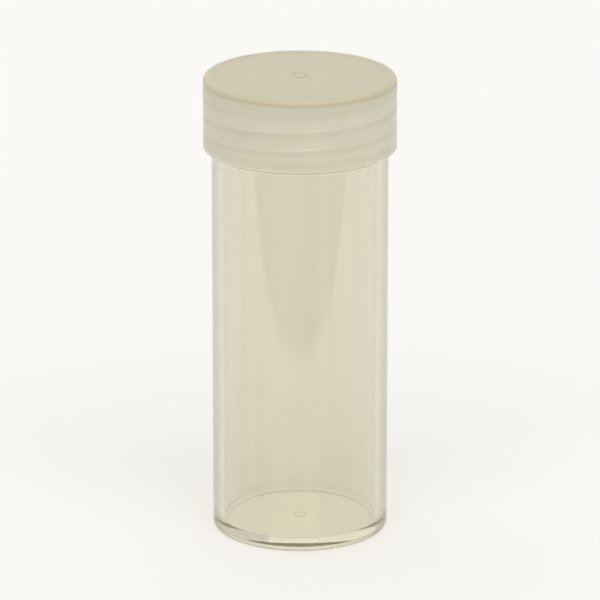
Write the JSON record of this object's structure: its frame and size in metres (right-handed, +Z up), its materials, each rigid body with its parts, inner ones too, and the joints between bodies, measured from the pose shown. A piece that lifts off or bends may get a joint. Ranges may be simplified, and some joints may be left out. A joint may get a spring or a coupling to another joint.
{
  "type": "coin tube",
  "caption": "Clear round plastic tube with a flat floor and a threaded neck, closed by a milky plastic screw cap, for keeping a stack of coins.",
  "frame": {"origin": "centre of the surface that the tube stands on", "axes": "+Z up along the tube's axis, out of its mouth; +X through the start of the thread"},
  "size_m": [0.031, 0.031, 0.076],
  "materials": {
    "clear_polystyrene": "clear, polished mould",
    "natural_polypropylene": "milky, fine satin"
  },
  "bodies": {
    "tube": {"tube": "clear_polystyrene"},
    "cap_lift": {"cap_gate_mark": "natural_polypropylene"},
    "cap": {"cap": "natural_polypropylene"}
  },
  "joints": [
    {"name": "cap_rise", "type": "slide", "parent": "tube", "child": "cap_lift", "axis": [0, 0, 1], "range_m": [0, 0.012]},
    {"name": "cap_turn", "type": "hinge", "parent": "cap_lift", "child": "cap", "pos_m": [0, 0, 0.07], "axis": [0, 0, 1], "range_deg": [0, 1440]}
  ],
  "couplings": [
    {"joint": "cap_rise", "follows": "cap_turn", "m_per_rad": 0.00047746}
  ]
}
